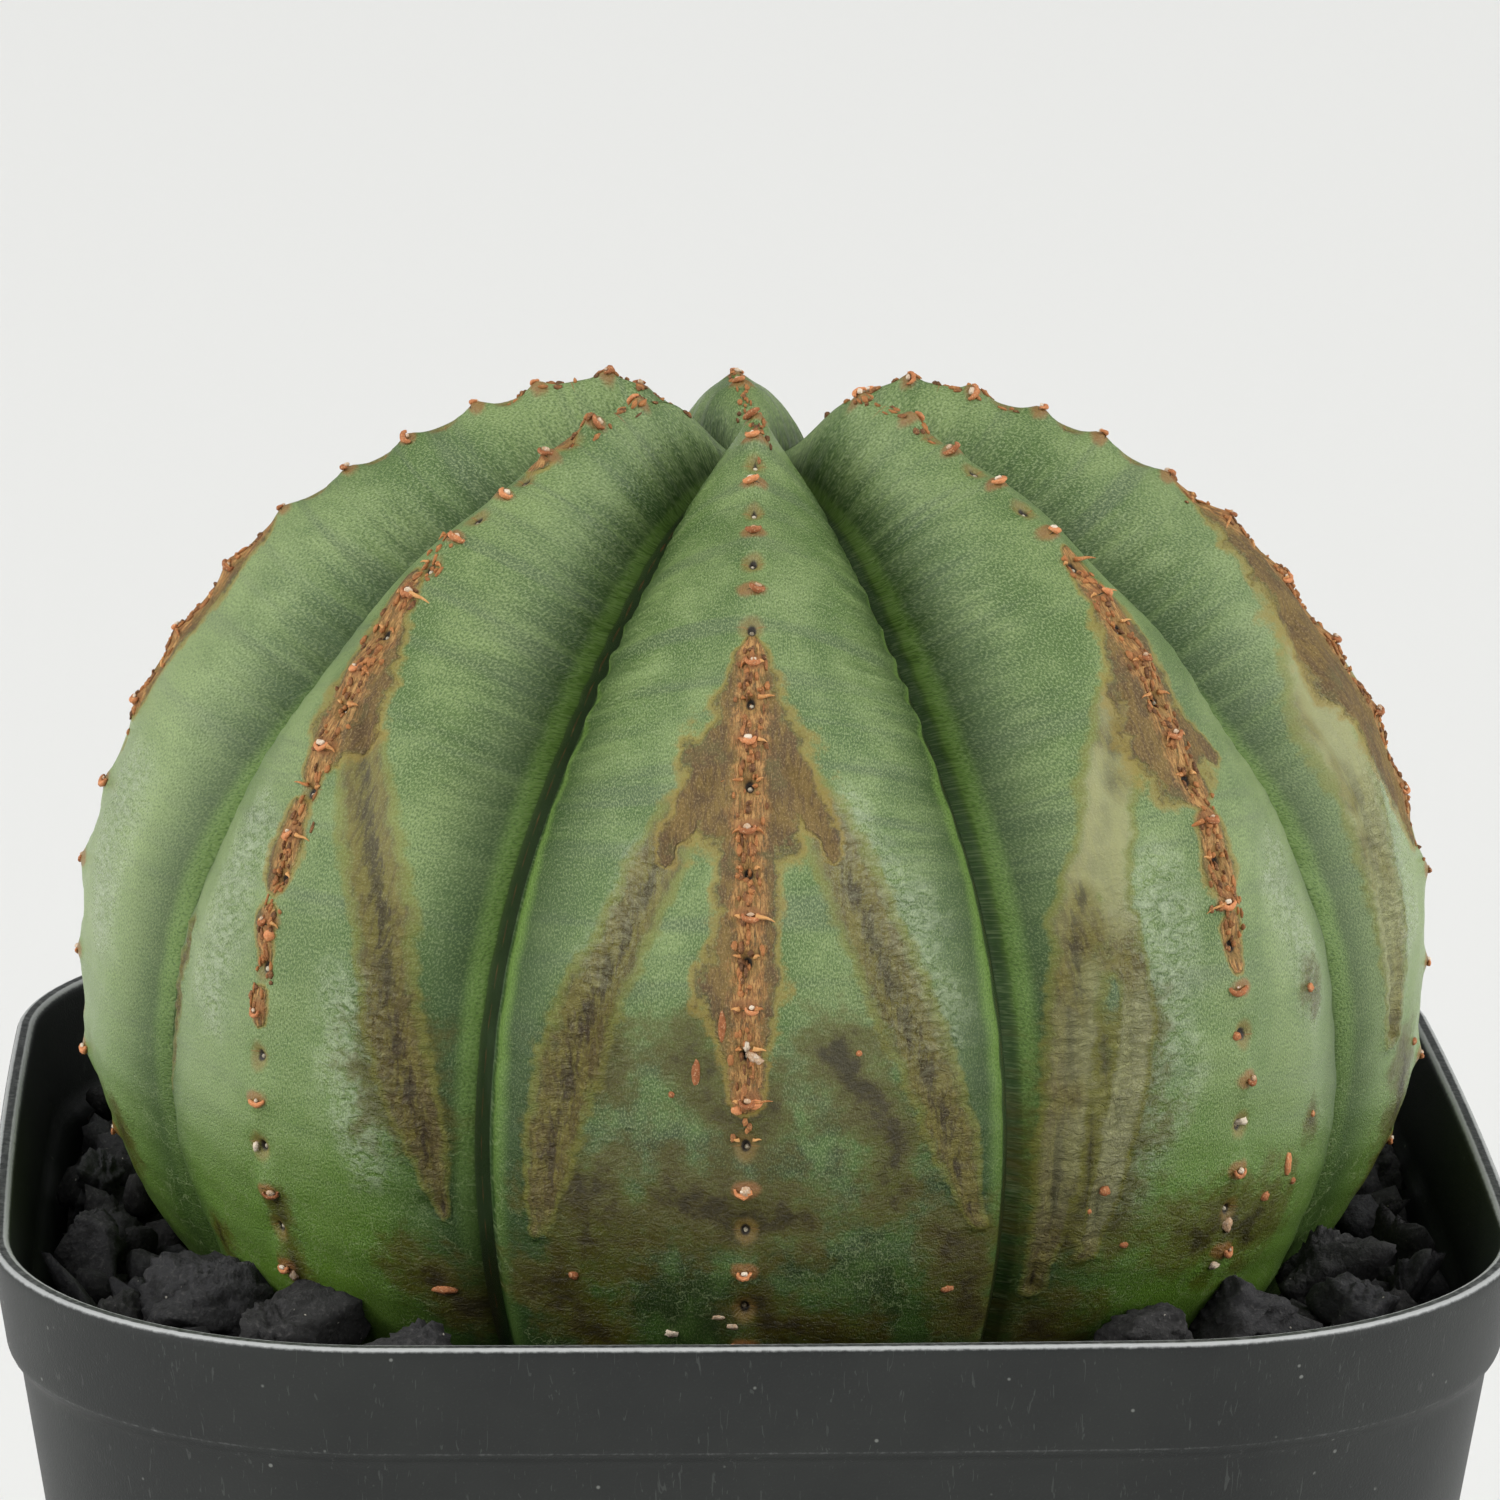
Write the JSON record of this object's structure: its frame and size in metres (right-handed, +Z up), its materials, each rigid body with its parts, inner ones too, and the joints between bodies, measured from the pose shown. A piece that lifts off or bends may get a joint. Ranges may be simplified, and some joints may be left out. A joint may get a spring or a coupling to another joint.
{
  "type": "potted ribbed globular euphorbia",
  "caption": "Ribbed ball-shaped euphorbia standing in a square plastic nursery pot with rounded corners, bedded in potting mix under dark gravel.",
  "frame": {"origin": "middle of the pot's underside", "axes": "+Z up along the plant's axis, -Y towards the front side of the pot, +X to the right"},
  "size_m": [0.089, 0.089, 0.128],
  "materials": {
    "pot_plastic": "satin, lightly scuffed",
    "mix": "loose dark bark and fibre",
    "skin": "waxy grey-green skin with corky brown patches",
    "gravel": "matte dark lava gravel"
  },
  "bodies": {
    "root": {"euphorbia": "skin", "pebble_1": "gravel", "pebble_10": "gravel", "pebble_11": "gravel", "pebble_12": "gravel", "pebble_13": "gravel", "pebble_14": "gravel", "pebble_15": "gravel", "pebble_16": "gravel", "pebble_17": "gravel", "pebble_18": "gravel", "pebble_19": "gravel", "pebble_2": "gravel", "pebble_20": "gravel", "pebble_21": "gravel", "pebble_22": "gravel", "pebble_23": "gravel", "pebble_24": "gravel", "pebble_25": "gravel", "pebble_26": "gravel", "pebble_27": "gravel", "pebble_28": "gravel", "pebble_29": "gravel", "pebble_3": "gravel", "pebble_30": "gravel", "pebble_31": "gravel", "pebble_32": "gravel", "pebble_33": "gravel", "pebble_34": "gravel", "pebble_35": "gravel", "pebble_36": "gravel", "pebble_37": "gravel", "pebble_38": "gravel", "pebble_4": "gravel", "pebble_5": "gravel", "pebble_6": "gravel", "pebble_7": "gravel", "pebble_8": "gravel", "pebble_9": "gravel", "pot": "pot_plastic", "potting_mix": "mix", "stone_1": "gravel", "stone_10": "gravel", "stone_11": "gravel", "stone_12": "gravel", "stone_13": "gravel", "stone_14": "gravel", "stone_2": "gravel", "stone_3": "gravel", "stone_4": "gravel", "stone_5": "gravel", "stone_6": "gravel", "stone_7": "gravel", "stone_8": "gravel", "stone_9": "gravel"}
  },
  "joints": []
}
